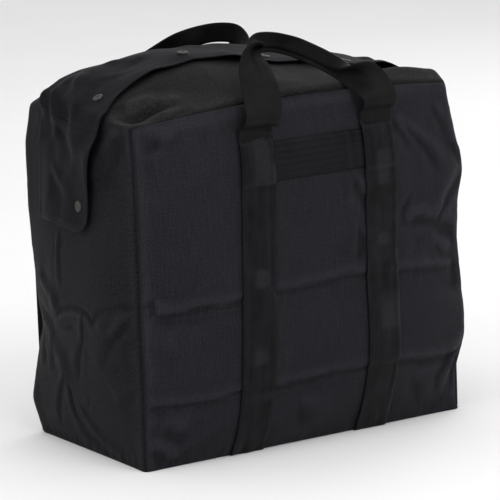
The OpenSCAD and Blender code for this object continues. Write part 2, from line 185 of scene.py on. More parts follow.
def to_line(u, v, points):
    """Distance to a polyline, side of it, and place along it from 0 to 1."""
    pts = np.array(points, float)
    seg = np.linalg.norm(np.diff(pts, axis=0), axis=1)
    total, gone = seg.sum(), 0.0
    best = np.full(u.shape, 1e9)
    side, along = np.zeros(u.shape), np.zeros(u.shape)
    for k in range(len(seg)):
        d = pts[k + 1] - pts[k]
        t = np.clip(((u - pts[k, 0]) * d[0] + (v - pts[k, 1]) * d[1]) / (seg[k] ** 2), 0, 1)
        du, dv = u - pts[k, 0] - t * d[0], v - pts[k, 1] - t * d[1]
        dist = np.hypot(du, dv)
        near = dist < best
        best = np.where(near, dist, best)
        side = np.where(near, np.sign(d[0] * dv - d[1] * du), side)
        along = np.where(near, (gone + t * seg[k]) / total, along)
        gone += seg[k]
    return best, side, along


def curve(points, per=6):
    """Smooth curve through the points (Catmull-Rom)."""
    p = np.array(points, float)
    p = np.vstack([2 * p[0] - p[1], p, 2 * p[-1] - p[-2]])
    out = []
    for i in range(1, len(p) - 2):
        for t in np.arange(per) / per:
            out.append(0.5 * (2 * p[i] + (p[i + 1] - p[i - 1]) * t
                              + (2 * p[i - 1] - 5 * p[i] + 4 * p[i + 1] - p[i + 2]) * t ** 2
                              + (3 * p[i] - p[i - 1] - 3 * p[i + 1] + p[i + 2]) * t ** 3))
    out.append(p[-2])
    return np.array(out)


def crease(u, v, points, width, depth, fade, step):
    """A pressed fold: a valley with soft shoulders (a ridge where depth is below 0)."""
    points = np.reshape(points, (-1, 2))
    line = curve(points) if len(points) > 2 else points
    seed = int(abs(points[0][0]) * 7 + abs(points[0][1])) % 50
    stray = min(2.6, 0.5 * width)
    u, v = (u + stray * noise(u / 19, v / 23, seed), v + stray * noise(u / 21, v / 18, seed + 3))
    d, side, s = to_line(u, v, line)
    width = width * (0.75 + 0.9 * s + 0.3 * noise(s * 5, s * 0, seed))
    ends = smooth(np.minimum(s, 1 - s) / fade) * (0.85 + 0.3 * noise(s * 4, s * 0, seed + 1))
    body = -np.exp(-(d / width) ** 2) + 0.4 * np.exp(-((d - 2.1 * width) / (1.3 * width)) ** 2)
    return (depth * body + step * side * (d / width) * np.exp(-d / (2.2 * width))) * ends


# Rows of points (pairs of places on the face), width, depth, fade of the ends, step across.
FRONT_CREASES = [
    # the long folds left from packing, and what meets them at the left edge
    ((-258, 224, -249, 223, -241, 229), 3, 2.2, 0.05, 1.5),
    ((-240, 230, -239, 208), 2.5, 2, 0.1, 1.2),
    ((-240, 206, -199, 213, -150, 215, -80, 221, -20, 221, 44, 227, 85, 222,
      144, 218, 192, 212, 258, 206), 3, 2, 0.04, 1.6),
    ((-258, 96, -246, 89, -202, 88, -130, 93, -60, 92, 10, 95, 84, 95,
      130, 92, 214, 82, 258, 78), 3, 2.1, 0.03, 1.6),
    # right end
    ((140, 286, 166, 284, 202, 275, 250, 246), 6, 3.4, 0.25, 2.4),
    ((202, 275, 220, 302, 238, 324, 256, 338), 7, 4.6, 0.2, 3.2),
    ((236, 392, 247, 374, 257, 350), 4, -3, 0.3, 0),
    ((238, 262, 246, 240, 251, 214, 250, 186, 244, 160), 4.5, -3.4, 0.25, 1.8),
    ((228, 240, 240, 205, 238, 170), 5, 2.4, 0.3, 0),
    ((238, 90, 226, 62, 216, 25), 4, -3, 0.3, 1.4),
    ((252, 100, 243, 60, 241, 20), 4, 2.6, 0.3, 0),
    ((214, 82, 239, 92, 254, 112), 4.5, 3, 0.25, 1.6),
    ((154, 323, 140, 298, 146, 275), 4, 2, 0.3, 1.2),
    ((61, 366, 66, 341, 85, 304), 4.5, 2, 0.3, 1.2),
    ((132, 432, 144, 408, 154, 386), 4, 2, 0.3, 1),
    ((150, 424, 172, 396, 192, 372, 203, 338), 4.5, 2.2, 0.3, 1.4),
    ((204, 440, 222, 410, 232, 376), 7, 2, 0.35, 1.2),
    ((196, 250, 214, 228, 240, 222), 4, 1.6, 0.35, 0.8),
    ((64, 300, 70, 262, 64, 236), 5, 1.6, 0.35, 1),
    # left end, under the dimple
    ((-252, 462, -236, 446, -222, 424), 8, 1.8, 0.3, 1.2),
    ((-250, 430, -232, 398, -226, 360), 12, 0.8, 0.35, 0.6),
    ((-250, 178, -228, 158, -206, 150), 12, 0.6, 0.35, 0.4),
    ((-246, 70, -222, 48, -190, 40), 9, 1.8, 0.35, 1.4),
    ((-252, 30, -236, 22, -226, 4), 6, 2.6, 0.3, 2),
    ((-40, 70, -20, 44, -14, 14), 10, 1.4, 0.4, 1),
    ((150, 70, 172, 44, 176, 12), 9, 1.8, 0.4, 1.2),
]
LEFT_CREASES = [
    ((40, 305, 46, 250, 43, 214), 3, -1.2, 0.2, 0.8),
    ((111, 222, 84, 214, 62, 201, 56, 176), 5.5, -3.6, 0.25, 2),
    ((130, 168, 98, 162, 70, 140, 44, 112, 36, 84), 6.5, -3.4, 0.2, 2.6),
    ((104, 160, 104, 130, 98, 100), 5, 3.4, 0.3, 1.6),
    ((84, 148, 80, 122, 84, 96), 4, -2.4, 0.3, 1.4),
    ((124, 182, 90, 174, 60, 160), 9, 3.4, 0.3, 2),
    ((59, 178, 15, 200, -33, 197, -49, 188, -73, 208, -107, 217, -140, 223),
     4.5, 2.6, 0.1, 1.6),
    ((-25, 202, -19, 178, -13, 155, 1, 129, 9, 96), 4, 3.4, 0.2, 2.2),
    ((51, 166, -4, 174), 3, 1.6, 0.25, 0.8),
    ((-136, 210, -122, 200, -108, 188, -84, 162, -58, 124), 6, 3.8, 0.25, 2.8),
    ((-112, 196, -96, 188, -86, 170), 6, -1.8, 0.3, 0),
    ((34, 112, 57, 62, 75, 18), 4.5, 2.8, 0.25, 1.8),
    ((32, 100, 26, 60, 4, 26, -40, 8), 4.5, 3.2, 0.2, 2),
    ((20, 92, 6, 56, -24, 28, -70, 10, -112, 4), 4, -2.4, 0.25, 1.4),
    ((-27, 88, -12, 68, 8, 50), 5, 1.6, 0.35, 1),
    ((-138, 116, -124, 104, -92, 74), 6, 2.6, 0.25, 2),
    ((-129, 463, -96, 446, -76, 424, -57, 400, -41, 366), 10, -3, 0.25, 2),
    ((-112, 440, -96, 400, -92, 360), 12, 1.8, 0.35, 1.2),
    ((104, 456, 80, 446, 64, 440), 6, -2.4, 0.3, 1),
]
RIGHT_CREASES = [
    ((120, 226, 70, 210, 10, 214, -50, 200, -110, 206), 4.5, 2.6, 0.12, 1.8),
    ((-120, 96, -60, 90, 0, 98, 60, 84, 120, 92), 4, 2.2, 0.12, 1.6),
    ((60, 198, 48, 150, 62, 100), 5, 3.2, 0.25, 2),
    ((-60, 190, -84, 150, -76, 116), 5.5, -3.2, 0.25, 2),
    ((20, 84, 36, 44, 24, 8), 5, 2.6, 0.25, 1.6),
    ((-110, 440, -84, 396, -88, 350), 10, 2, 0.3, 1.6),
    ((112, 420, 96, 372, 104, 330), 9, 2, 0.3, 1.4),
]
BACK_CREASES = [
    ((-256, 214, -160, 222, -60, 212, 40, 220, 150, 214, 256, 222),
     3.2, 2, 0.04, 1.6),
    ((-256, 90, -150, 84, -40, 92, 60, 86, 160, 94, 256, 84), 3.2, 2, 0.04, 1.6),
    ((-250, 330, -222, 300, -206, 262), 6, 3.4, 0.25, 2.6),
    ((-244, 180, -238, 140, -248, 104), 5, -3, 0.25, 1.6),
    ((250, 360, 226, 330, 214, 290), 6, 3, 0.25, 2.4),
    ((246, 186, 236, 150, 242, 110), 5, -3, 0.25, 1.6),
    ((60, 370, 74, 330, 66, 300), 5, 1.8, 0.3, 1.2),
    ((-60, 70, -36, 40, -30, 10), 9, 1.6, 0.35, 1.2),
    ((150, 66, 176, 40, 180, 10), 9, 1.8, 0.35, 1.2),
]


def all_creases(u, v, rows):
    out = np.zeros(u.shape)
    for row in rows:
        out += crease(u, v, *row)
    return out


def cloth_noise(u, v, seed, big=1.0):
    return (big * 1.5 * noise(u / 95 + seed, v / 115, seed)
            + 0.34 * noise(u / 41, v / 52, seed + 1)
            + 0.07 * noise(u / 15, v / 19, seed + 2))


def pucker(d, s, seed, reach=13.0, size=1.1):
    """Gathers along a seam: d is the distance from it and s the place along it."""
    wave = noise(s / 11.0, d / 60.0, seed) + 0.6 * noise(s / 5.2, d / 50.0, seed + 5)
    return size * wave * np.exp(-d / reach) * smooth(d / 4.0)


def front_detail(x, z, back=False):
    seed = 31 if back else 11
    out = all_creases(x, z, BACK_CREASES if back else FRONT_CREASES)
    out += cloth_noise(x, z, seed) * smooth((HALF_L - np.abs(x)) / 30) * smooth(z / 30 + 0.2)
    out += pucker(HALF_L - np.abs(x), z + 3000 * (x > 0), seed + 7, 8, 0.4)
    out += pucker(np.maximum(0, z), x, seed + 8, 12, 1.2)
    out += pucker(np.maximum(0, 474 - z), x, seed + 9, 12, 1.0)
    # cloth drawn in beside the webs, where they are sewn down
    beside = np.minimum(np.abs(np.abs(x) - WEB_X) - WEB_W / 2, 60)
    out += np.where(beside > 0, 0.5 * np.exp(-((beside - 14) / 12) ** 2), 0) * smooth(z / 60)
    return out


def side_detail(y, z, right=False):
    seed = 51 if right else 71
    out = all_creases(y, z, RIGHT_CREASES if right else LEFT_CREASES)
    out *= 1 - 0.45 * smooth((260 - z) / 60)
    out += cloth_noise(y, z, seed, 0.8) * smooth((HALF_D - np.abs(y)) / 30)
    out += pucker(HALF_D - np.abs(y), z + 3000 * (y > 0), seed + 7, 10, 0.8)
    out += pucker(np.maximum(0, z), y, seed + 8, 12, 1.2)
    return out


TOP_CREASES = [
    ((-222, -52, -232, -84, -246, -122), 7, 2.6, 0.25, 2),
    ((-200, -60, -150, -84, -110, -120), 12, 2, 0.3, 1.2),
    ((-40, -60, 10, -96, 60, -112), 14, 2, 0.3, 1.2),
    ((100, -132, 140, -112, 190, -98, 244, -92), 6, 2.6, 0.25, 1.6),
    ((-249, -130, -234, -114, -212, -106, -184, -112), 7.5, 3.6, 0.3, 2),
    ((-244, -84, -216, -92, -180, -104, -150, -112), 9, -3.4, 0.3, 2),
]


def top_detail(x, y):
    out = all_creases(x, y, TOP_CREASES)
    out -= 12 * np.exp(-((x + 224) / 22) ** 2 - ((y + 104) / 15) ** 2)
    out += 8 * np.exp(-((x + 198) / 27) ** 2 - ((y + 125) / 9) ** 2)
    out += cloth_noise(x, y, 91, 1.2) * smooth((HALF_L - np.abs(x)) / 30)
    out += pucker(HALF_D - np.abs(y), x + 3000 * (y > 0), 97, 10, 0.5)
    out += pucker(HALF_L - np.abs(x), y + 3000 * (x > 0), 98, 12, 1.2)
    return out


def normals_of(p):
    du, dv = np.gradient(p, axis=1), np.gradient(p, axis=0)
    return unit(np.cross(du, dv))


# Depth to which a seam draws the cloth in, and the reach over which the pull turns.
SEAM_DEPTH, END_SEAM_DEPTH, SEAM_WIDTH, SEAM_TURN = 2.6, 1.6, 4.2, 7.0
CLOTH_FOOT = 0.4  # lowest the outer side of a panel comes


def seam_pull(d, depth=SEAM_DEPTH):
    """How far cloth is drawn in beside a seam, with a low swell behind it."""
    return depth * np.exp(-(d / SEAM_WIDTH) ** 2) - 0.5 * np.exp(-((d - 11) / 7.0) ** 2)


def wear_and_crease_shade(h):
    """Above 0 where a height field stands proud of its surroundings (paler: rubbed ridges, partly
    painted highlight), below 0 in its creases and drawn-in seams (painted shade).
    """
    soft = h.copy()
    for _ in range(10):
        pad = np.pad(soft, 1, mode="edge")
        soft = (pad[:-2, 1:-1] + pad[2:, 1:-1] + pad[1:-1, :-2] + pad[1:-1, 2:]) / 4
    rise = h - soft
    return np.clip(np.sign(rise) * np.maximum(0, np.abs(rise) - 0.07) * 0.9, -0.6, 0.6)


# ---- Materials ----
def new_material(name):
    """A material, short words for its nodes, and its shader."""
    m = bpy.data.materials.new(name)
    m.use_nodes = True
    nodes = m.node_tree.nodes
    nodes.clear()
    out = nodes.new("ShaderNodeOutputMaterial")
    shader = nodes.new("ShaderNodeBsdfPrincipled")
    m.node_tree.links.new(shader.outputs["BSDF"], out.inputs["Surface"])
    return m, Net(m.node_tree), shader


class Net:
    """Short words for the nodes of one material."""

    def __init__(self, tree):
        self.t = tree

    def new(self, kind, **props):
        n = self.t.nodes.new(kind)
        for k, v in props.items():
            setattr(n, k, v)
        return n

    def link(self, a, b):
        self.t.links.new(a, b)

    def put(self, socket, value):
        if isinstance(value, bpy.types.NodeSocket):
            self.link(value, socket)
        else:
            socket.default_value = value

    def node(self, kind, inputs, output=0, **props):
        n = self.new(kind, **props)
        for key, value in inputs.items():
            self.put(n.inputs[key], value)
        return n.outputs[output]

    def math(self, op, a, b=0.0, clamp=False):
        return self.node("ShaderNodeMath", {0: a, 1: b}, operation=op, use_clamp=clamp)

    def cloth(self):
        """Place on the cloth in metres, and its wear with painted highlights and painted shade.
        """
        return (self.new("ShaderNodeUVMap", uv_map="cloth").outputs[0],
                self.new("ShaderNodeAttribute", attribute_name="wear_and_painted_light").outputs["Fac"])

    def place(self):
        return self.new("ShaderNodeTexCoord").outputs["Object"]

    def sum(self, *terms):
        total = terms[0]
        for term in terms[1:]:
            total = self.math("ADD", total, term)
        return total

    def times(self, a, k):
        return self.math("MULTIPLY", a, k)

    def about(self, a, k, middle=0.5):
        """Part of a that differs from its middle value, times k."""
        return self.times(self.math("SUBTRACT", a, middle), k)

    def mix(self, f, a, b):
        return self.node("ShaderNodeMix", {0: f, 6: a, 7: b}, 2, data_type="RGBA")

    def scaled(self, vector, scale):
        return self.node("ShaderNodeMapping", {0: vector, "Scale": scale})

    def noise(self, vector, scale, detail=2.0, rough=0.5):
        return self.node("ShaderNodeTexNoise", {
            "Vector": vector, "Scale": scale, "Detail": detail, "Roughness": rough}, "Fac")

    def ramp(self, f, low, high):
        return self.node("ShaderNodeMapRange", {0: f, 1: low, 2: high},
                         interpolation_type="SMOOTHSTEP")

    def bump(self, height, strength, distance, below=None):
        inputs = {"Strength": strength, "Distance": distance, "Height": height}
        if below is not None:
            inputs["Normal"] = below
        return self.node("ShaderNodeBump", inputs, "Normal")

    def wave(self, vector, scale, direction):
        return self.node("ShaderNodeTexWave", {"Vector": vector, "Scale": scale}, "Fac",
                         bands_direction=direction, wave_profile="SIN")


def shade(base, k, plus=0.0):
    return tuple(v * k + plus for v in base) + (1,)


RIB_PITCH, CORD_PITCH, CHEVRON = 0.0021, 0.0014, 0.0042  # webbing, in metres


def fabric(name, base, streak=0.18, sheen=0.02, rough=0.60, weave=0.00075, grainy=2.5,
           grain_scale=345):
    """Coated nylon duck: plain weave, slubs along the warp, scuffed ridges, and painted shade in
    the creases.
    """
    m, g, shader = new_material(name)
    uv, wear_and_painted_light = g.cloth()
    count = 2 * math.pi / weave / 20 * 2  # the wave texture runs 20 radians in one unit
    threads = g.times(g.wave(uv, count, "X"), g.wave(uv, count, "Y"))
    slub = g.noise(g.scaled(uv, (620, 26, 1)), 1.0, 3, 0.6)
    pick = g.noise(g.scaled(uv, (40, 560, 1)), 1.0, 2, 0.5)
    grain = g.noise(uv, grain_scale, 2, 0.65)
    blotch = g.noise(uv, 9, 4, 0.55)
    # Tone takes in the per-point wear value: paler scuffed ridges, painted shade in creases and
    # seams.
    tone = g.sum(g.about(slub, streak * 2.4), g.about(blotch, 0.352),
                 g.about(grain, grainy), g.about(pick, streak * 0.8),
                 g.about(threads, 0.12, 0.25), g.times(wear_and_painted_light, 0.45))
    value = g.math("ADD", tone, 0.5, clamp=True)
    g.link(g.mix(value, shade(base, 0.5), shade(base, 1.62, 0.002)), shader.inputs["Base Color"])
    rub = g.ramp(wear_and_painted_light, 0.2, 0.8)
    scuff = g.times(rub, g.ramp(g.noise(uv, 150, 3, 0.6), 0.30, 0.62))
    rough_now = g.sum(g.about(blotch, 0.14), rough)
    g.link(g.math("SUBTRACT", rough_now, g.times(scuff, 0.22)), shader.inputs["Roughness"])
    fine = g.bump(threads, 0.55, 0.00012)
    fine = g.bump(slub, 0.35, 0.00022, fine)
    fine = g.bump(grain, 0.6, 0.0004, fine)
    g.link(g.bump(g.noise(uv, 75, 4, 0.6), 0.3, 0.0007, fine), shader.inputs["Normal"])
    shader.inputs["Sheen Weight"].default_value = sheen
    shader.inputs["Sheen Roughness"].default_value = 0.45
    shader.inputs["Sheen Tint"].default_value = (0.75, 0.78, 0.9, 1)
    shader.inputs["Specular IOR Level"].default_value = 0.035
    return m


def web_material(name, base, rough=0.42, shine=0.09):
    """Flat nylon webbing: ribs across it, a chevron along it, random blotches, and patches of
    painted highlight and painted shade.
    """
    m, g, shader = new_material(name)
    uv, wear_and_painted_light = g.cloth()
    split = g.new("ShaderNodeSeparateXYZ")
    g.link(uv, split.inputs[0])
    fold = g.math("PINGPONG", split.outputs[0], CHEVRON)
    slant = g.sum(g.times(fold, 1.1), split.outputs[1])
    ribs = g.math("SINE", g.times(slant, 2 * math.pi / RIB_PITCH))
    cords = g.math("SINE", g.times(split.outputs[0], 2 * math.pi / CORD_PITCH))
    rib = g.sum(g.times(ribs, 0.5), g.times(cords, 0.35))
    blotch = g.noise(uv, 26, 4, 0.6)
    along = g.noise(g.scaled(uv, (260, 14, 1)), 1.0, 3, 0.6)
    grain = g.noise(uv, 500, 2, 0.6)
    # Tone takes in the per-point wear value: painted highlight patches and painted shade.
    tone = g.sum(g.times(rib, 0.10), g.about(blotch, 0.75), g.about(along, 0.35),
                 g.about(grain, 0.35), g.times(wear_and_painted_light, 0.7))
    value = g.math("ADD", tone, 0.5, clamp=True)
    g.link(g.mix(value, shade(base, 0.3), shade(base, 2.6)), shader.inputs["Base Color"])
    g.link(g.math("SUBTRACT", rough, g.about(blotch, 0.35, 0.45)), shader.inputs["Roughness"])
    g.link(g.bump(rib, 0.6, 0.00025), shader.inputs["Normal"])
    shader.inputs["Specular IOR Level"].default_value = shine
    return m


def thread_material(name, base):
    m, g, shader = new_material(name)
    where = g.place()
    twist = g.noise(where, 900, 2, 0.5)
    g.link(g.mix(twist, shade(base, 0.6), shade(base, 1.5)), shader.inputs["Base Color"])
    g.link(g.bump(twist, 0.4, 0.0002), shader.inputs["Normal"])
    shader.inputs["Roughness"].default_value = 0.5
    shader.inputs["Specular IOR Level"].default_value = 0.1
    return m


def metal_material(name, base, rough):
    """Oxidised snap metal: dull and blotched, with fine pits."""
    m, g, shader = new_material(name)
    where = g.place()
    fine = g.noise(where, 900, 3, 0.6)
    blotch = g.noise(where, 160, 3, 0.6)
    g.link(g.mix(blotch, shade(base, 0.55), shade(base, 1.5)), shader.inputs["Base Color"])
    g.link(g.sum(g.about(blotch, 0.3), rough), shader.inputs["Roughness"])
    g.link(g.bump(fine, 0.3, 0.0002), shader.inputs["Normal"])
    shader.inputs["Metallic"].default_value = 0.9
    return m


# Copies of one duck toned to how brightly each face is lit; the darker side copy is painted
# shade.
DUCK = fabric("duck_front", (0.0128, 0.0127, 0.0157), 0.34, grainy=1.3, grain_scale=430)
DUCK_SIDE_SHADED = fabric("duck_side", (0.0084, 0.0079, 0.0093))
DUCK_TOP = fabric("duck_top", (0.0112, 0.0111, 0.0115), rough=0.62)
DUCK_FLAP = fabric("duck_flap", (0.0046, 0.0043, 0.0057), 0.20, rough=0.58)
TAPE = fabric("binding_tape", (0.012, 0.012, 0.013), 0.2, 0.1, 0.75, 0.0009, 1.3, 430)
WEB = web_material("webbing_flat", (0.0043, 0.0040, 0.0052))
WEB_HANDLE = web_material("webbing_handle", (0.0054, 0.0052, 0.0052), 0.5, 0.05)
BAND = web_material("webbing_band", (0.0027, 0.0025, 0.0034))
THREAD = thread_material("thread", (0.0105, 0.0100, 0.0112))
GUNMETAL = metal_material("gunmetal", (0.052, 0.048, 0.044), 0.42)
TOOTH = metal_material("zip_teeth_metal", (0.06, 0.055, 0.05), 0.45)


# ---- Mesh helpers ----
def make(name, verts, faces, material, body, uv=None, wear_and_painted_light=None, smooth_faces=True, slot=None):
    """A mesh object in metres from points in millimetres."""
    me = bpy.data.meshes.new(name)
    me.from_pydata((np.asarray(verts, float) * MM).tolist(), [], faces)
    me.update()
    if uv is not None:
        layer = me.uv_layers.new(name="cloth")
        index = np.empty(len(me.loops), int)
        me.loops.foreach_get("vertex_index", index)
        layer.data.foreach_set("uv", (np.asarray(uv, float) * MM)[index].ravel())
    # The per-point attribute holds rubbed wear together with painted highlights and painted
    # shade.
    values = np.zeros(len(verts)) if wear_and_painted_light is None else np.asarray(wear_and_painted_light, float)
    me.attributes.new("wear_and_painted_light", "FLOAT", "POINT").data.foreach_set("value", values)
    me.materials.append(material)
    if smooth_faces:
        me.polygons.foreach_set("use_smooth", [True] * len(me.polygons))
    ob = bpy.data.objects.new(name, me)
    bpy.context.collection.objects.link(ob)
    if body is not None:
        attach(ob, body)
    return ob


def grid_solid(p, thick, flip=False, soft_edge=True):
    """Points and faces of a closed sheet whose outer side is the grid p."""
    n, m = p.shape[:2]
    out = normals_of(p) * (-1 if flip else 1)
    inner = p - out * thick
    if soft_edge:  # the rim is thinner, so that it looks rounded
        p = p.copy()
        for s in (np.s_[0, :], np.s_[-1, :], np.s_[:, 0], np.s_[:, -1]):
            p[s] -= out[s] * thick * 0.3
            inner[s] += out[s] * thick * 0.3
    verts = np.concatenate([p.reshape(-1, 3), inner.reshape(-1, 3)])
    verts[:, 2] = np.maximum(verts[:, 2], FLOOR_GAP)
    k = n * m
    i, j = np.meshgrid(np.arange(n - 1), np.arange(m - 1), indexing="ij")
    a = (i * m + j).ravel()
    quads = np.stack([a, a + 1, a + m + 1, a + m], 1)
    back = np.stack([a + m, a + m + 1, a + 1, a], 1) + k
    line, col = np.arange(m - 1), np.arange(n - 1) * m
    top, end = (n - 1) * m + line, col + m - 1
    rim = [np.stack([u, v, v + k, u + k], 1) for u, v in (
        (line + 1, line), (top, top + 1), (col, col + m), (end + m, end))]
    faces = np.concatenate([quads, back] + rim)
    if flip:
        faces = faces[:, ::-1]
    return verts, faces.tolist()


def cloth_sheet(name, p, u, v, material, body, thick=CLOTH, flip=False, wear_and_painted_light=None, slot="duck",
                soft_edge=True):
    verts, faces = grid_solid(p, thick, flip, soft_edge)
    uv = np.stack([u.ravel(), v.ravel()], 1)
    w = np.zeros(u.size) if wear_and_painted_light is None else wear_and_painted_light.ravel()
    return make(name, verts, faces, material, body, np.concatenate([uv, uv]),
                np.concatenate([w, w * 0]), slot=slot)


def stitches(rows, length, radius):
    """Points and faces of short thread loops; rows is a list of (points, normals)."""
    verts, faces = [], []
    ring = [(math.cos(t), math.sin(t)) for t in np.arange(6) * math.pi / 3]
    for pts, nor in rows:
        pts, nor = np.asarray(pts, float), np.asarray(nor, float)
        s = lengths(pts)
        count = max(1, int(s[-1] / (length * 1.45)))
        for mid in (np.arange(count) + 0.5) * s[-1] / count:
            a = point_at(max(0, mid - length / 2), s, pts)
            b = point_at(min(s[-1], mid + length / 2), s, pts)
            n = unit(point_at(mid, s, nor))
            d = b - a
            if np.linalg.norm(d) < 1e-6:
                continue
            w = np.cross(unit(d), n)
            k = len(verts)
            verts.append(a - n * radius * 0.5)
            for f in (0.22, 0.78):
                centre = a + (b - a) * f + n * radius * 0.35
                for cx, cy in ring:
                    verts.append(centre + w * cx * radius + n * cy * radius)
            verts.append(b - n * radius * 0.5)
            for q in range(6):
                r = (q + 1) % 6
                faces.append([k, k + 1 + r, k + 1 + q])
                faces.append([k + 1 + q, k + 1 + r, k + 7 + r, k + 7 + q])
                faces.append([k + 13, k + 7 + q, k + 7 + r])
    return verts, faces


def sewn(name, rows, body, length=2.6, radius=0.4):
    make(name, *stitches(rows, length, radius), THREAD, body, slot="binding")


# ---- Surfaces of the bag, with their folds ----
def facing(at_u, at_v, u, v, du, dv):
    """Normal of a surface from small steps du and dv along it."""
    return unit(np.cross(at_u(u + du) - at_u(u - du), at_v(v + dv) - at_v(v - dv)))


def drawn_in(q, n, d, depth, aim):
    """Points drawn in beside a seam at distance d, turning from the normal n to aim."""
    near = np.exp(-(d / SEAM_TURN) ** 2)[..., None]
    return q - seam_pull(d, depth)[..., None] * unit(n * (1 - near) + aim * near)


def front_surface(x, z, side=-1):
    """Front (side -1) or back (side 1): points, normals and height of the folds."""
    x, z = np.broadcast_arrays(np.asarray(x, float), np.asarray(z, float))
    a = x / HALF_L
    c = z / (BAG_H + SEAM_RISE * (1 - a * a))
    b = float(side)
    n = -side * facing(lambda u: bag(u, b, c), lambda v: bag(a, b, v), a, c, 0.6 / HALF_L, 0.001)
    dx = HALF_L - np.abs(x)
    dtop = (1 - c) * (BAG_H + SEAM_RISE)
    h = front_detail(x, z, side > 0)
    h = h * smooth(dx / 12) * smooth(dtop / 10) * smooth(np.maximum(0, z) / 6)
    q = bag(a, b, c) + n * h[..., None]
    q = drawn_in(q, n, dx, SEAM_DEPTH, vec(0.75 * np.sign(x), 0.66 * side, 0))
    q = drawn_in(q, n, dtop, SEAM_DEPTH, vec(0, 0.62 * side, 0.78))
    q[..., 2] = np.maximum(q[..., 2], CLOTH_FOOT)
    return q, n, h - seam_pull(dx) - seam_pull(dtop)


def side_surface(y, z, side=-1):
    """Left (side -1) or right (side 1): points, normals and height of the folds."""
    y, z = np.broadcast_arrays(np.asarray(y, float), np.asarray(z, float))
    b, c = y / HALF_D, z / BAG_H
    a = float(side)
    n = side * facing(lambda u: bag(a, u, c), lambda v: bag(a, b, v), b, c, 0.004, 0.001)
    dy = HALF_D - np.abs(y)
    dtop = (1 - c) * BAG_H
    h = side_detail(y, z, side > 0)
    h = h * smooth(dy / 12) * smooth(dtop / 10) * smooth(np.maximum(0, z) / 6)
    q = bag(a, b, c) + n * h[..., None]
    q = drawn_in(q, n, dy, SEAM_DEPTH, vec(0.75 * side, 0.66 * np.sign(y), 0))
    q = drawn_in(q, n, dtop, END_SEAM_DEPTH, vec(0.7 * side, 0, 0.7))
    q[..., 2] = np.maximum(q[..., 2], CLOTH_FOOT)
    return q, n, h - seam_pull(dy)


def top_surface(x, y):
    """Top: points, normals and height of the folds."""
    x, y = np.broadcast_arrays(np.asarray(x, float), np.asarray(y, float))
    a, b = x / HALF_L, y / HALF_D
    n = facing(lambda u: bag(u, b, 1.0), lambda v: bag(a, v, 1.0), a, b, 0.002, 0.004)
    dx, dy = HALF_L - np.abs(x), HALF_D - np.abs(y)
    h = top_detail(x, y) * smooth(dx / 12) * smooth(dy / 10)
    q = bag(a, b, 1.0) + n * h[..., None]
    q = drawn_in(q, n, dy, SEAM_DEPTH, vec(0, np.where(y < 0, -0.62, 0.62), 0.78))
    q = drawn_in(q, n, dx, END_SEAM_DEPTH, vec(0.7 * np.sign(x), 0, 0.7))
    return q, n, h - seam_pull(dy)


def lattice(u0, u1, v0, v1, step):
    nu, nv = int(abs(u1 - u0) / step) + 1, int(abs(v1 - v0) / step) + 1
    return np.meshgrid(np.linspace(u0, u1, nu), np.linspace(v0, v1, nv))


FINE = 2.6
COARSE = 5.0


def build_long_panel(name, side, node, step):
    s, c = lattice(-1, 1, 0.0, 1.0, step / 238)
    x = s * HALF_L
    z = c * (BAG_H + SEAM_RISE * (1 - s * s))
    p, _, h = front_surface(x, z, side)
    ob = cloth_sheet(name, p, x, z, DUCK, "bag", flip=side > 0, wear_and_painted_light=wear_and_crease_shade(h))
    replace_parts(ob, node)


def build_side_panel(name, side, node, step):
    y, z = lattice(-HALF_D, HALF_D, 0.0, BAG_H, step)
    p, _, h = side_surface(y, z, side)
    ob = cloth_sheet(name, p, y, z, DUCK_SIDE_SHADED, "bag", flip=side < 0, wear_and_painted_light=wear_and_crease_shade(h))
    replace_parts(ob, node)


build_long_panel("panel_front", -1, "front_panel", FINE)
build_long_panel("panel_back", 1, "back_panel", COARSE)
build_side_panel("panel_left", -1, "left_side_panel", FINE)
build_side_panel("panel_right", 1, "right_side_panel", COARSE)

# Top, split at the zip: the part in front of it, and the part behind, which stays with the bag.
x, y = lattice(-HALF_L, HALF_L, -HALF_D, ZIP_Y - 6, FINE)
p, _, h = top_surface(x, y)
top_front = cloth_sheet("panel_top_front", p, x, y, DUCK_TOP, None, wear_and_painted_light=wear_and_crease_shade(h))
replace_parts(top_front, "top_front_panel")
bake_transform(top_front)
x, y = lattice(-HALF_L, HALF_L, ZIP_Y + 6, HALF_D, COARSE)
p, _, h = top_surface(x, y)
top_back = cloth_sheet("panel_top_back", p, x, y, DUCK_TOP, "bag", wear_and_painted_light=wear_and_crease_shade(h))
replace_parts(top_back, "top_back_panel")

# Base: it rides up over the two webs that pass beneath it.
x, y = lattice(-HALF_L + 1, HALF_L - 1, -HALF_D + 1, HALF_D - 1, COARSE)
over = smooth((WEB_W / 2 + 7 - np.abs(np.abs(x) - WEB_X)) / 6) * 2.9
z = 0.35 + over + 0.5 * (noise(x / 30, y / 34, 5) + 1) * (1 - over / 2.9)
edge = np.minimum(HALF_L - np.abs(x), HALF_D - np.abs(y))
z = z + 1.2 * np.exp(-(edge / 5) ** 2)
base = cloth_sheet("panel_base", np.stack([x, y, z], -1), x, y, DUCK_SIDE_SHADED, "bag", flip=True)
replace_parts(base, "bottom_panel")


# ---- Webbing sewn to the bag ----
def web_x(side, z):
    """Middle of a front web: the left one leans towards the middle as it rises."""
    z = np.asarray(z, float)
    return -WEB_X + 11 * smooth(z / 460) if side < 0 else WEB_X + 2 * smooth(z / 460)


def band_step(z):
    return smooth((z - BAND_LOW + 7) / 6) * smooth((BAND_HIGH + 7 - z) / 6)


ACROSS = np.linspace(-1, 1, 19)  # columns of points over the width of a web
WEB_TOP = 441


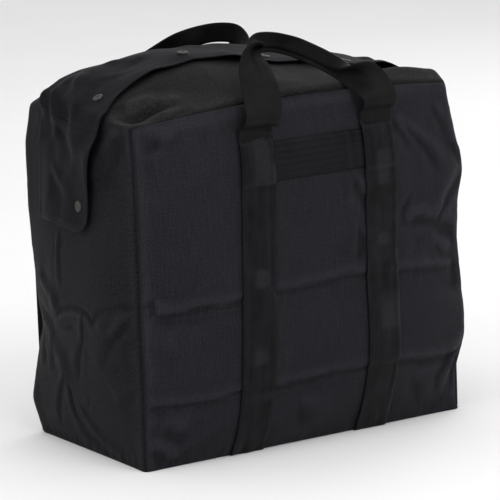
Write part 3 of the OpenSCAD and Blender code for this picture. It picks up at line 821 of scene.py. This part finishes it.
def web_grid(side, face, z0, z1):
    """Outer points of a front (face -1) or back web, normals, place across, z and lift."""
    t, z = np.meshgrid(ACROSS, np.linspace(z0, z1, int((z1 - z0) / 2.4) + 1))
    x = (web_x(side, z) if face < 0 else side * WEB_X) + t * WEB_W / 2
    p, n, _ = front_surface(x, z, face)
    seed = 200 + side + 5 * face
    lift = 0.9 + WEB_T + 2.7 * band_step(z)
    lift = lift + 0.5 * noise(t * 1.6, z / 21, seed) + 0.35 * noise(t * 3, z / 9, seed + 1)
    curl = np.where(t < 0, 1.5, 0.6) * np.abs(t) ** 6
    curl = curl * (0.6 + 0.4 * noise(t * 0, z / 34, seed + 2))
    lift = lift + curl * (1 - band_step(z))
    lift = np.maximum(lift, WEB_T + 0.2)
    return p + n * lift[..., None], n, t, z, lift


def build_web(name, side, face, node):
    """A web sewn up the bag; gives the lines for the stitches near its edges."""
    p, n, t, z, lift = web_grid(side, face, 0.5, WEB_TOP)
    seed = 300 + side + 7 * face
    # Colour: paler patches on the right half of the web, painted highlights where it bulges, over random tone;     the lift adds paler raised edges and painted shade where the web dips.
    wear_and_painted_light = 1.1 * smooth(noise(t * 0.7 + 3, z / 27, seed) * 2.4 - 0.3) * smooth((t + 0.45) / 0.4) \
        + 0.25 * noise(t * 4, z / 70, seed + 4) - 0.25
    ob = cloth_sheet(name, p, t * WEB_W / 2, z, WEB, "bag", thick=WEB_T,
                     flip=face > 0, wear_and_painted_light=wear_and_painted_light + wear_and_crease_shade(lift) * 0.5, slot="webbing")
    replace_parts(ob, node)
    return [(p[4:, k], n[4:, k]) for k in (2, 16)]


def box_x(side, face):
    """Box and cross stitched where a web crosses the band."""
    p, n, *_ = web_grid(side, face, BAND_LOW + 2, BAND_HIGH - 1)
    rows = [(p[0, 2:-2], n[0, 2:-2]), (p[-1, 2:-2], n[-1, 2:-2])]
    cols = np.linspace(2, 16, len(p))
    k = cols.astype(int)
    f = (cols - k)[:, None]
    i = np.arange(len(p))
    for order in (i, i[::-1]):
        rows.append((p[order, k] * (1 - f) + p[order, k + 1] * f, n[order, k]))
    return rows


def build_band(name, face, node):
    """The band across the webs; gives the lines for its two rows of stitches."""
    xs = np.linspace(-112 if face < 0 else -122, 123, 106)
    zs = np.linspace(BAND_LOW, BAND_HIGH, 19)
    x, z = np.meshgrid(xs, zs)
    p, n, _ = front_surface(x, z, face)
    wave = 0.5 * noise(x / 16, z / 50, 401 + face) + 0.9 * np.exp(-((x - 52) / 4) ** 2) \
        - 0.8 * np.exp(-((x - 62) / 4) ** 2)
    lift = np.maximum(0.5 + WEB_T + wave, WEB_T + 0.15)
    # Colour: random tone, with the wave's ridge and fold near x 52 to 62 painted lighter and
    # darker as painted highlight and painted shade.
    ob = cloth_sheet(name, p + n * lift[..., None], z - BAND_LOW, x, BAND, "bag", thick=WEB_T,
                     flip=face > 0, wear_and_painted_light=wear_and_crease_shade(wave) + 0.3 * noise(x / 22, z / 30, 402),
                     slot="webbing")
    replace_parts(ob, node)
    q = p + n * (lift[..., None] + 0.05)
    return [(q[1], n[1]), (q[-2], n[-2])]


for face, word in ((-1, "front"), (1, "back")):
    rows = []
    for side, hand in ((-1, "left"), (1, "right")):
        rows += build_web(f"web_{word}_{hand}", side, face, f"{word}_{hand}_web")
        rows += box_x(side, face)
    rows += build_band(f"band_{word}", face, f"{word}_cross_band")
    sewn(f"stitches_{word}", rows, "bag")

for side, hand in ((-1, "left"), (1, "right")):
    t, y = np.meshgrid(ACROSS, np.linspace(-143, 143, 96))
    p = vec(side * WEB_X + t * WEB_W / 2, y, 2.45 - 0.4 * np.abs(t) ** 4)
    ob = cloth_sheet(f"web_under_{hand}", p, t * WEB_W / 2, y, WEB, "bag", thick=2.2,
                     slot="webbing")
    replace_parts(ob, f"bottom_{hand}_web")


# ---- Handles ----
FOLD_R, FOLD_ANGLE = 2.0, math.pi * 0.985  # the bend of a strap folded lengthwise, and its turn


def ribbon(stations, per=9, columns=21):
    """Strap through stations of centre, direction of its width, and fold.

    A strap lies flat at fold 0 and is folded lengthwise into half its width at fold 1.
    """
    data = curve(stations, per)
    centre, wide, fold = data[:, :3], data[:, 3:6], np.clip(data[:, 6:], 0, 1)
    run = unit(np.gradient(centre, axis=0))
    wide = unit(wide - run * np.sum(wide * run, axis=1, keepdims=True))
    out = np.cross(wide, run)
    t = np.linspace(-1, 1, columns)
    q = t * WEB_W / 2
    turn = FOLD_ANGLE * fold
    turn = np.where(turn < 1e-3, 0, turn)
    a = np.clip(q / FOLD_R, 0, turn)
    past = np.maximum(0, q - FOLD_R * turn)
    u = np.minimum(q, 0) + FOLD_R * np.sin(a) + past * np.cos(a) + WEB_W / 4 * fold
    w = -FOLD_R * (1 - np.cos(a)) - past * np.sin(a)
    wide, out = wide[:, None], out[:, None]
    grid = centre[:, None] + wide * u[..., None] + out * w[..., None]
    nor = out * np.cos(a)[..., None] + wide * np.sin(a)[..., None]
    return grid, nor, t, lengths(centre)


def strap(name, stations, nodes, seed, painted_shade_from):
    """A handle of webbing; from the given length on, its grip and far leg get painted shade."""
    p, n, t, s = ribbon(stations)
    tt, ss = np.meshgrid(t * WEB_W / 2, s)
    ripple = 0.5 * noise(tt / 22, ss / 30, seed)
    p = p + n * ripple[..., None]
    # Random tone, ripples painted paler on crests and darker in dips (painted highlight and
    # shade), and painted shade over the grip and far leg from the given length on, fading before
    # the end.
    wear_and_painted_light = 0.3 * noise(tt / 20, ss / 30, seed + 2) + 0.5 * wear_and_crease_shade(ripple) \
        - 0.55 * smooth((ss - painted_shade_from) / 30) * smooth((s[-1] - 15 - ss) / 20)
    ob = cloth_sheet(name, p, tt, ss, WEB_HANDLE, None, thick=WEB_T, wear_and_painted_light=wear_and_painted_light, slot="webbing")
    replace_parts(ob, *nodes)
    return ob, p, n


# Rows of x, y, z, direction of the width, fold.
FRONT_STATIONS = [
    (-89, -174.5, 426, -1, 0, 0, 0), (-89, -175.5, 438, -1, 0, 0, 0),
    (-88, -177, 444, -1, 0, 0, 0), (-87, -187, 451, -1, 0.05, 0, 0),
    (-83, -188, 462, -0.98, 0.15, 0.05, 0), (-78, -180, 477, -0.94, 0.3, 0.1, 0),
    (-73, -167, 493, -0.9, 0.4, 0.16, 0), (-68, -151, 509, -0.86, 0.42, 0.28, 0.06),
    (-62, -135, 524, -0.78, 0.4, 0.45, 0.3), (-51, -119, 536, -0.6, 0.3, 0.72, 0.75),
    (-34, -107, 541, -0.26, 0.1, 0.95, 1), (-6, -102, 538, -0.12, 0, 1, 1),
    (20, -104, 530, 0.1, 0, 1, 1), (40, -111, 520, 0.2, 0.05, 0.97, 1),
    (58, -124, 509, 0.34, 0.08, 0.93, 0.96), (74, -140, 498, 0.46, 0.1, 0.87, 0.8),
    (87, -158, 488, 0.64, 0.08, 0.74, 0.42), (96, -174, 479, 0.85, 0, 0.5, 0.08),
    (101, -186, 468, 0.98, -0.1, 0.12, 0), (102, -188, 456, 1, -0.05, 0, 0),
    (102, -178, 446, 1, 0, 0, 0), (102, -175.5, 438, 1, 0, 0, 0), (102, -174.5, 426, 1, 0, 0, 0),
]
handle_front, p, n = strap(
    "handle_front", FRONT_STATIONS,
    ["front_handle_left_leg", "front_handle_grip", "front_handle_right_leg"], 501, 130)
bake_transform(handle_front)

# Sewing that shows on the front strap: a line near each edge, and one row across the left leg.
rows = []
for k in (2, 18):
    keep = np.where(p[:, k, 2] > 480)[0]
    rows.append((p[keep, k], n[keep, k]))
over = int(np.argmin(np.abs(p[:len(p) // 2, 10, 2] - 505)))
rows.append((p[over, 3:18], n[over, 3:18]))
sewn("stitches_handle_front", rows, "front_handle", 2.4, 0.38)

BACK_STATIONS = [
    (-100, 174.5, 426, 1, 0, 0, 0), (-100, 175.5, 438, 1, 0, 0, 0), (-99, 178, 445, 1, 0, 0, 0),
    (-97, 183, 453, 1, 0, 0, 0), (-93, 176, 464, 0.97, 0, -0.2, 0.1),
    (-84, 156, 477, 0.8, 0, -0.6, 0.5), (-68, 134, 493, 0.65, 0.1, -0.75, 0.9),
    (-49, 116, 509, 0.5, 0.05, -0.86, 1), (-26, 105, 521, 0.25, 0, -0.97, 1),
    (4, 101, 527, 0, 0, -1, 1), (34, 101, 528, -0.1, 0, -1, 1),
    (62, 103, 523, -0.3, 0.05, -0.95, 1), (80, 112, 509, -0.6, 0.05, -0.8, 0.9),
    (91, 128, 493, -0.8, 0.05, -0.6, 0.7), (97, 150, 478, -0.93, 0, -0.35, 0.35),
    (99, 173, 466, -0.99, 0, -0.1, 0.05), (99, 183, 455, -1, 0, 0, 0),
    (100, 178, 445, -1, 0, 0, 0), (100, 175.5, 438, -1, 0, 0, 0), (100, 174.5, 426, -1, 0, 0, 0),
]
handle_back, *_ = strap(
    "handle_back", BACK_STATIONS,
    ["back_handle_left_leg", "back_handle_grip", "back_handle_right_leg"], 521, 60)
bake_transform(handle_back)

# ---- Storm flap ----
SEWN_Y, FREE_Y, FLAP_T = 92.0, -46.0, 1.6
FLAP_TURN = 14.0  # how far the top strip goes on down the side
FLAP_BEND = 9.0  # radius of the turn over the bag's end


def wrap(s, y):
    """Point and normal on the top at s from the middle, going on down the side past its end."""
    s, y = np.broadcast_arrays(np.asarray(s, float), np.asarray(y, float))
    sx = np.sign(s) + (s == 0)
    d = np.abs(s)
    r = FLAP_BEND
    pt, nt, _ = top_surface(sx * np.minimum(d, HALF_L - r), y)
    down = np.maximum(0, d - HALF_L - r)
    ps, ns = np.zeros_like(pt), np.zeros_like(nt)
    for side in (-1, 1):
        q, n, _ = side_surface(y, BAG_H - r - down, side)
        pick = sx == side
        ps[pick], ns[pick] = q[pick], n[pick]
    t = np.clip((d - (HALF_L - r)) / (2 * r), 0, 1)[..., None]
    corner = vec(ps[..., 0], pt[..., 1], pt[..., 2] - 2.0)
    bez = (1 - t) ** 2 * pt + 2 * t * (1 - t) * corner + t * t * ps
    p = np.where(t <= 0, pt, np.where(t >= 1, ps, bez))
    return p, unit(nt * (1 - t) + ns * t)


# Waves of the free edge between the snaps: place along the strip, half width, height.
FLAP_WAVES = [(-343, 16, 3.0), (-297, 32, 7.5), (-166, 30, 3.5), (-36, 26, 5.0), (96, 30, 6.0),
              (208, 26, 7.0), (297, 30, 4.0)]
END_SNAP_S = HALF_L + BAG_H - SNAP_END_Z
FLAP_CREASES = [
    ((-208, 60, -236, 30, -262, -14), 7, -3.4, 0.25, 2.4),
    ((-232, 74, -262, 58, -300, 40), 8, -3.2, 0.25, 2.4),
    ((-274, 66, -292, 20, -318, -20), 9, 2.6, 0.3, 2),
    ((-330, 60, -352, 20, -366, -4), 8, -2, 0.3, 1.6),
    ((-180, 70, -150, 40, -128, 6), 8, -2, 0.3, 1.4),
    ((-60, 66, -40, 30, -44, -6), 8, -1.6, 0.3, 1.2),
    ((120, 62, 150, 30, 158, 0), 8, -2, 0.3, 1.4),
    ((230, 70, 256, 40, 290, 10), 9, -2.8, 0.3, 2),
]


def flap_height(s, y):
    """Height of the flap strip over the bag: flat where sewn, open in waves at its free edge."""
    out = smooth((SEWN_Y - y) / 45)
    lift = 1.9 + (3.0 + 2.2 * smooth((np.abs(s) - HALF_L) / 40)) * out
    free = smooth((24 - y) / 66)
    for at, wide, high in FLAP_WAVES:
        lift = lift + high * np.exp(-((s - at) / wide) ** 2) * free
    for at in SNAP_XS + (-END_SNAP_S, END_SNAP_S):
        near = np.exp(-((s - at) ** 2 + (y - SNAP_Y) ** 2) / 17.0 ** 2)
        lift = lift * (1 - near) + 5.8 * near
    lift = lift + 0.5 * noise(s / 26, y / 30, 612) + 0.9 * noise(s / 60, y / 50, 613)
    lift = lift + 1.5 * all_creases(s, y, FLAP_CREASES) * out
    return np.maximum(lift, 1.9)


def free_edge_y(s):
    """Where the flap's free edge runs: it swings towards the front over the bag's ends."""
    past = np.abs(s) - 262
    reach = np.where(past < 0, 30.0, 60.0)
    return FREE_Y - 27 * np.exp(-(past / reach) ** 2)


def to_edge(y, edge):
    """Stretch rows between the sewn line and FREE_Y to reach the free edge."""
    return SEWN_Y + (y - SEWN_Y) * (SEWN_Y - edge) / (SEWN_Y - FREE_Y)


def flap_fold_shade_and_pale_edge(lift, d):
    """Painted shade in the folds with paler rubbed ridges (partly painted highlight), and a paler
    line along the free edge at distance d.
    """
    return 0.35 * wear_and_crease_shade(lift) + 0.8 * np.exp(-(d / 2.5) ** 2)


def hem(d):
    """The turned-in hem makes the edge a little thicker."""
    return 0.9 * smooth((11 - d) / 2.0) - 0.5 * np.exp(-((d - 11.5) / 1.6) ** 2)


s, y = lattice(-HALF_L - FLAP_TURN, HALF_L + FLAP_TURN, FREE_Y, SEWN_Y, 3.0)
free_edge = free_edge_y(s) + 3.0 * noise(s / 60, s * 0, 611) * smooth((HALF_L - np.abs(s)) / 40)
y = to_edge(y, free_edge)
p, n = wrap(s, y)
d_free = y - free_edge
lift = flap_height(s, y) + hem(d_free) + hem(SEWN_Y - y) * 0.6
p = p + n * lift[..., None]
top_flap = cloth_sheet("flap_top", p, s, y, DUCK_FLAP, None, thick=FLAP_T, soft_edge=False,
                       wear_and_painted_light=flap_fold_shade_and_pale_edge(lift, d_free))
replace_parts(top_flap, "top_flap")
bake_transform(top_flap)
sewn("stitches_flap_free", [(p[3], n[3])], "flap_over")
sewn("stitches_flap_sewn", [(p[-2], n[-2]), (p[-5], n[-5])], "bag")

END_LOW, END_TOP = 309.0, BAG_H - FLAP_TURN


def build_flap_end(name, side, node):
    """One end of the flap, hanging down the side over the zip: points, normals."""
    y, z = lattice(FREE_Y, SEWN_Y, END_LOW, END_TOP, 2.6)
    r = 26.0  # rounded lower front corner
    k = (END_TOP - z) / (END_TOP - END_LOW)
    q = np.clip((FREE_Y + r - y) / r, 0, 1)
    low = r * (1 - np.sqrt(np.maximum(0, 1 - q * q)))
    sag = 3.0 * smooth((60 - y) / 90)
    z = z + (low - sag) * k
    edge = free_edge_y(HALF_L + BAG_H - z)
    y = to_edge(y, edge)
    p, n, _ = side_surface(y, z, side)
    d_low = z - (END_LOW + low - sag)
    d_front = y - edge
    lift = flap_height(side * (HALF_L + BAG_H - z), y) + np.maximum(hem(d_low), hem(d_front))
    if side > 0:  # room for the zip pull under the cloth
        lift = lift + 3.6 * np.exp(-((y - ZIP_Y) / 15) ** 2) * smooth((440 - z) / 16)
    p = p + n * lift[..., None]
    ob = cloth_sheet(name, p, y, z, DUCK_FLAP, None, thick=FLAP_T, flip=side < 0,
                     soft_edge=False,
                     wear_and_painted_light=flap_fold_shade_and_pale_edge(lift, d_front) + 0.35 * smooth((12 - d_low) / 2))
    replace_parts(ob, node)
    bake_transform(ob)
    return p, n


end_grids = {"left": build_flap_end("flap_left", -1, "left_flap_end"),
             "right": build_flap_end("flap_right", 1, "right_flap_end")}
for hand, (q, m) in end_grids.items():
    rows = []
    for line in (np.s_[4], np.s_[4:, 4]):
        keep = q[line][:, 1] < 46  # only the part that hangs free
        rows.append((q[line][keep], m[line][keep]))
    sewn(f"stitches_flap_{hand}", rows, f"flap_{hand}")


# ---- Snaps ----
def lathe(profile, centre, normal, steps=40):
    """Points and faces of a turned piece: profile is a list of (radius, height)."""
    n = unit(np.array(normal, float))
    side = unit(np.cross(n, [0, 1, 0] if abs(n[1]) < 0.9 else [1, 0, 0]))
    other = np.cross(n, side)
    verts = [np.array(centre) + n * high + (side * math.cos(t) + other * math.sin(t)) * r
             for r, high in profile for t in 2 * math.pi * np.arange(steps) / steps]
    faces, m = [], len(profile)
    for i in range(m - 1):
        for q in range(steps):
            r = (q + 1) % steps
            faces.append([i * steps + q, i * steps + r, (i + 1) * steps + r, (i + 1) * steps + q])
    faces.append(list(range(steps))[::-1])
    faces.append([(m - 1) * steps + q for q in range(steps)])
    return verts, faces


CAP = [(7.5, -0.6), (7.7, 0.1), (7.5, 0.7), (6.9, 1.25), (6.0, 1.55), (5.0, 1.65), (4.0, 1.6),
       (3.3, 1.45), (2.8, 1.0), (2.4, 0.7), (1.6, 0.62), (0.8, 0.6)]


SOCKET = [(6.2, -2.9), (6.2, -2.2), (4.2, -1.9)]
STUD = [(6.0, -0.3), (6.0, 0.5), (3.2, 0.8), (3.2, 2.2), (2.4, 2.6)]
SNAP_LIFT = 6  # how high the flap lies over the bag at a snap


def nearest(grid, normals, target):
    k = np.linalg.norm(grid - target, axis=-1)
    k = np.unravel_index(k.argmin(), k.shape)
    return grid[k], normals[k]


def turned(name, profile, spots, node, body, steps=40):
    """One mesh of turned pieces, one at each spot (point, normal)."""
    mesh = joined(lathe(profile, c, m, steps) for c, m in spots)
    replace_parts(make(name, *mesh, GUNMETAL, body, slot="gunmetal"), node)


def first_spot(surface):
    return surface[0][0], surface[1][0]


on_bag = [first_spot(top_surface(np.array([float(at)]), np.array([SNAP_Y]))) for at in SNAP_XS]
on_flap = [nearest(p, n, c + [0, 0, SNAP_LIFT]) for c, _ in on_bag]
turned("snaps_top", CAP, on_flap, "top_snap_caps", "flap_over")
for side, hand in ((-1, "left"), (1, "right")):
    c, m = first_spot(side_surface(np.array([SNAP_Y]), np.array([SNAP_END_Z]), side))
    turned(f"snap_{hand}", CAP, [nearest(*end_grids[hand], c + m * SNAP_LIFT)],
           f"{hand}_snap_cap", f"flap_{hand}")
turned("sockets_top", SOCKET, on_flap, "top_snap_sockets", "flap_over", 24)
turned("studs_top", STUD, on_bag, "top_snap_studs", "mouth_front", 24)

for name, node, body, y0, y1 in (("tape_front", "zip_front_tape", "mouth_front", 3, ZIP_Y - 2.4),
                                 ("tape_rear", "zip_rear_tape", "bag", ZIP_Y + 2.4, 33)):
    x, y = lattice(-ZIP_END_X, ZIP_END_X, y0, y1, 2.6)
    p, n, _ = top_surface(x, y)
    ob = cloth_sheet(name, p - n * 2.15, x, y, TAPE, body, thick=0.8, slot="zip_tape")
    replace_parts(ob, node)

# ---- CAD pieces that keep their shape and take a worked material ----
for node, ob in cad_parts.items():
    metal = "_snap_s" in node or node in ("zip_slider", "zip_pull", "zip_stops")
    if metal or "tape" in node or "binding" in node:
        ob.data.materials.clear()
        ob.data.materials.append(GUNMETAL if metal else TAPE)


# ---- Zip teeth ----
def tooth(centre, across, along, up):
    """One moulded tooth: a block with a narrower nose."""
    verts = []
    for a, half in ((0.0, 0.85), (2.0, 0.85), (3.2, 0.5)):
        for su in (-1, 1):
            for sv in (-1, 1):
                verts.append(centre + across * a + along * half * sv
                             + up * su * (1.1 if a < 3 else 0.7))
    f = [[0, 1, 3, 2], [8, 10, 11, 9]]
    for b in (0, 4):
        f += [[b, b + 4, b + 5, b + 1], [b + 2, b + 3, b + 7, b + 6],
              [b, b + 2, b + 6, b + 4], [b + 1, b + 5, b + 7, b + 3]]
    return verts, f


TOOTH_PITCH, TOOTH_ROW = 2.5, 3.6  # step along a row, and from the middle to a row
ZIP_ENDS = (287, 452)  # heights of the zip's ends on the two sides of the bag


def row_of_teeth(path, sign, up, along=None):
    """Teeth along a path; the rear row (sign 1) starts half a step later."""
    s = lengths(path)
    for q in np.arange(1.5 + (TOOTH_PITCH / 2 if sign > 0 else 0), s[-1] - 1, TOOTH_PITCH):
        c = point_at(q, s, path)
        d = unit(point_at(q + 0.5, s, path) - c) if along is None else np.array(along)
        yield tooth(c, np.array([0.0, -sign, 0.0]), d, np.array(up))


def teeth(name, rows, body, node):
    ob = make(name, *joined(rows), TOOTH, body, smooth_faces=False, slot="zip_teeth")
    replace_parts(ob, node)


xs = np.linspace(-ZIP_END_X, ZIP_END_X, 80)
for sign, body, node in ((-1, "mouth_front", "zip_front_teeth"), (1, "bag", "zip_rear_teeth")):
    edge, _, _ = top_surface(xs, xs * 0 + ZIP_Y + sign * TOOTH_ROW)
    teeth(f"teeth_{node}", row_of_teeth(edge - [0, 0, 2.6], sign, (0.0, 0.0, 1.0)), body, node)
zs = np.linspace(*ZIP_ENDS, 40)
for side, hand in ((-1, "left"), (1, "right")):
    rows = []
    for sign in (-1, 1):
        edge = bag(float(side), (ZIP_Y + sign * TOOTH_ROW) / HALF_D, zs / BAG_H)
        rows += row_of_teeth(edge - [side * 3.0, 0, 0], sign, (float(side), 0.0, 0.0),
                             (0.0, 0.0, 1.0))
    teeth(f"teeth_side_{hand}", rows, "bag", f"zip_{hand}_teeth")

# ---- Stage, light and camera ----
FLOOR = 8  # half the side of the floor, in metres
me = bpy.data.meshes.new("floor")
me.from_pydata([(u * FLOOR, v * FLOOR, 0) for u, v in ((-1, -1), (1, -1), (1, 1), (-1, 1))],
               [], [[0, 1, 2, 3]])
floor = bpy.data.objects.new("floor", me)
bpy.context.collection.objects.link(floor)
m, g, shader = new_material("floor_pale")
g.link(g.mix(g.noise(g.place(), 3, 2), (0.86, 0.86, 0.86, 1), (0.9, 0.9, 0.9, 1)),
       shader.inputs["Base Color"])
shader.inputs["Roughness"].default_value = 0.9
me.materials.append(m)


def area_light(name, place, target, size, power):
    light = bpy.data.lights.new(name, "AREA")
    light.shape = "RECTANGLE"
    light.size, light.size_y = size
    light.energy = power
    ob = bpy.data.objects.new(name, light)
    bpy.context.collection.objects.link(ob)
    ob.location = place
    aim = Vector(target) - Vector(place)
    ob.rotation_euler = aim.to_track_quat("-Z", "Y").to_euler()


area_light("key", (0.2, -2.6, 2.6), (0, 0, 0.3), (2.2, 1.6), 40)
area_light("left", (-3.0, -0.6, 1.7), (0, 0, 0.3), (1.6, 2.0), 22)
area_light("top", (0.3, 0.6, 3.2), (0, 0, 0.4), (2.4, 2.4), 14)
area_light("rim", (2.6, 1.6, 1.8), (0, 0, 0.3), (1.2, 2.0), 12)
world = bpy.data.worlds.new("studio")
bpy.context.scene.world = world
world.use_nodes = True
world.node_tree.nodes["Background"].inputs[0].default_value = (1, 1, 1, 1)
world.node_tree.nodes["Background"].inputs[1].default_value = 0.8

AZ, EL, ROLL = math.radians(-32.5), math.radians(11.77), math.radians(-2.21)
DIST, SHIFT_X, SHIFT_Z, LOOK_Z, LENS = 4.8535, 0.00715, -0.00984, 0.25, 255.13
back_dir = Vector((math.sin(AZ) * math.cos(EL), -math.cos(AZ) * math.cos(EL), math.sin(EL)))
right0 = Vector((math.cos(AZ), math.sin(AZ), 0))
up0 = back_dir.cross(right0)
right_dir = right0 * math.cos(ROLL) + up0 * math.sin(ROLL)
up_dir = up0 * math.cos(ROLL) - right0 * math.sin(ROLL)
cam_data = bpy.data.cameras.new("camera")
cam_data.sensor_width = 36
cam_data.lens = LENS
cam_data.clip_end = 50
camera = bpy.data.objects.new("camera", cam_data)
bpy.context.collection.objects.link(camera)
place = Vector((0, 0, LOOK_Z)) + right0 * SHIFT_X + up0 * SHIFT_Z + back_dir * DIST
rot = Matrix((right_dir, up_dir, back_dir)).transposed()
camera.matrix_world = Matrix.Translation(place) @ rot.to_4x4()
bpy.context.scene.camera = camera
bpy.context.scene.view_settings.view_transform = "Standard"
